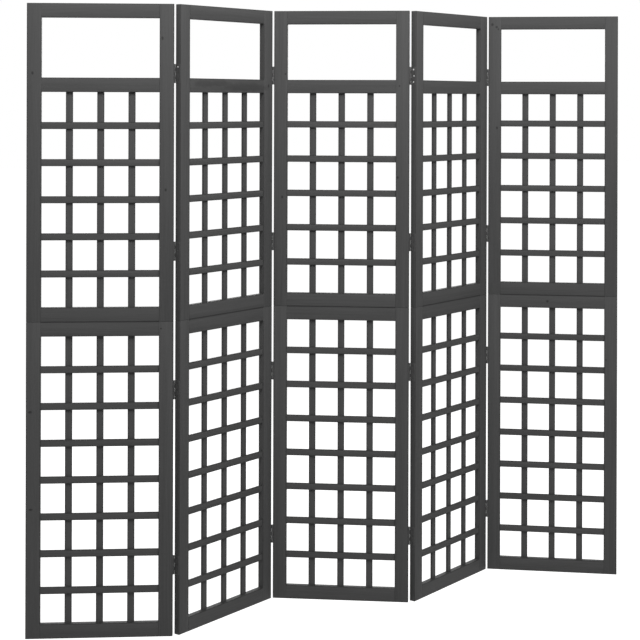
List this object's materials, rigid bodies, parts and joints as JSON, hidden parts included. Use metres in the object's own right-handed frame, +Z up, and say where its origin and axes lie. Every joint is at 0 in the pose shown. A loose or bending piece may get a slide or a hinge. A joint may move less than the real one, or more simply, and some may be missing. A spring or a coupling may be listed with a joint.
{
  "type": "folding screen",
  "caption": "Free-standing folding room divider: hinged panels of dark grey wood with an open square lattice and a clear field at the top.",
  "frame": {"origin": "on the floor, at the middle of the box around the standing screen", "axes": "+Z up, +X from the left end of the screen to its right end, seen from the front; the front is -Y"},
  "size_m": [1.8958, 0.3125, 1.8],
  "materials": {
    "frame_board_wood": "dark grey stain, dull satin, grain showing faintly",
    "lattice_slat_wood": "dark grey stain, dull satin, grain showing faintly",
    "dowel_beech": "bare beech",
    "hinge_steel": "dark grey paint, satin, rubbed bright along the edges",
    "pin_steel": "bright steel",
    "screw_steel": "dark grey paint, satin"
  },
  "bodies": {
    "panel_1": {"panel_1_upper_stiles": "frame_board_wood", "panel_1_upper_rails": "frame_board_wood", "panel_1_upper_crossbars": "lattice_slat_wood", "panel_1_lower_stiles": "frame_board_wood", "panel_1_lower_rails": "frame_board_wood", "panel_1_lower_crossbars": "lattice_slat_wood", "panel_1_uprights": "lattice_slat_wood", "panel_1_seam_dowels": "dowel_beech", "panel_1_screws": "screw_steel", "hinge_1_2_left_leaves": "hinge_steel", "hinge_1_2_pins": "pin_steel"},
    "panel_2": {"panel_2_upper_stiles": "frame_board_wood", "panel_2_upper_rails": "frame_board_wood", "panel_2_upper_crossbars": "lattice_slat_wood", "panel_2_lower_stiles": "frame_board_wood", "panel_2_lower_rails": "frame_board_wood", "panel_2_lower_crossbars": "lattice_slat_wood", "panel_2_uprights": "lattice_slat_wood", "panel_2_seam_dowels": "dowel_beech", "panel_2_screws": "screw_steel", "hinge_2_3_left_leaves": "hinge_steel", "hinge_2_3_pins": "pin_steel", "hinge_1_2_right_leaves": "hinge_steel"},
    "panel_3": {"panel_3_upper_stiles": "frame_board_wood", "panel_3_upper_rails": "frame_board_wood", "panel_3_upper_crossbars": "lattice_slat_wood", "panel_3_lower_stiles": "frame_board_wood", "panel_3_lower_rails": "frame_board_wood", "panel_3_lower_crossbars": "lattice_slat_wood", "panel_3_uprights": "lattice_slat_wood", "panel_3_seam_dowels": "dowel_beech", "panel_3_screws": "screw_steel", "hinge_3_4_left_leaves": "hinge_steel", "hinge_3_4_pins": "pin_steel", "hinge_2_3_right_leaves": "hinge_steel"},
    "panel_4": {"panel_4_upper_stiles": "frame_board_wood", "panel_4_upper_rails": "frame_board_wood", "panel_4_upper_crossbars": "lattice_slat_wood", "panel_4_lower_stiles": "frame_board_wood", "panel_4_lower_rails": "frame_board_wood", "panel_4_lower_crossbars": "lattice_slat_wood", "panel_4_uprights": "lattice_slat_wood", "panel_4_seam_dowels": "dowel_beech", "panel_4_screws": "screw_steel", "hinge_4_5_left_leaves": "hinge_steel", "hinge_4_5_pins": "pin_steel", "hinge_3_4_right_leaves": "hinge_steel"},
    "panel_5": {"panel_5_upper_stiles": "frame_board_wood", "panel_5_upper_rails": "frame_board_wood", "panel_5_upper_crossbars": "lattice_slat_wood", "panel_5_lower_stiles": "frame_board_wood", "panel_5_lower_rails": "frame_board_wood", "panel_5_lower_crossbars": "lattice_slat_wood", "panel_5_uprights": "lattice_slat_wood", "panel_5_seam_dowels": "dowel_beech", "panel_5_screws": "screw_steel", "hinge_4_5_right_leaves": "hinge_steel"}
  },
  "joints": [
    {"name": "fold_2_3", "type": "hinge", "parent": "panel_3", "child": "panel_2", "pos_m": [-0.18121, 0.07735, 0], "axis": [0, 0, 1], "range_deg": [-58.5, 121.5]},
    {"name": "fold_1_2", "type": "hinge", "parent": "panel_2", "child": "panel_1", "pos_m": [-0.54066, -0.13723, 0], "axis": [0, 0, -1], "range_deg": [-49, 131]},
    {"name": "fold_3_4", "type": "hinge", "parent": "panel_3", "child": "panel_4", "pos_m": [0.2085, -0.07553, 0], "axis": [0, 0, 1], "range_deg": [-58.5, 121.5]},
    {"name": "fold_4_5", "type": "hinge", "parent": "panel_4", "child": "panel_5", "pos_m": [0.56794, 0.13905, 0], "axis": [0, 0, -1], "range_deg": [-61, 119]}
  ],
  "couplings": [
    {"joint": "fold_3_4", "follows": "fold_2_3", "ratio": 1}
  ]
}
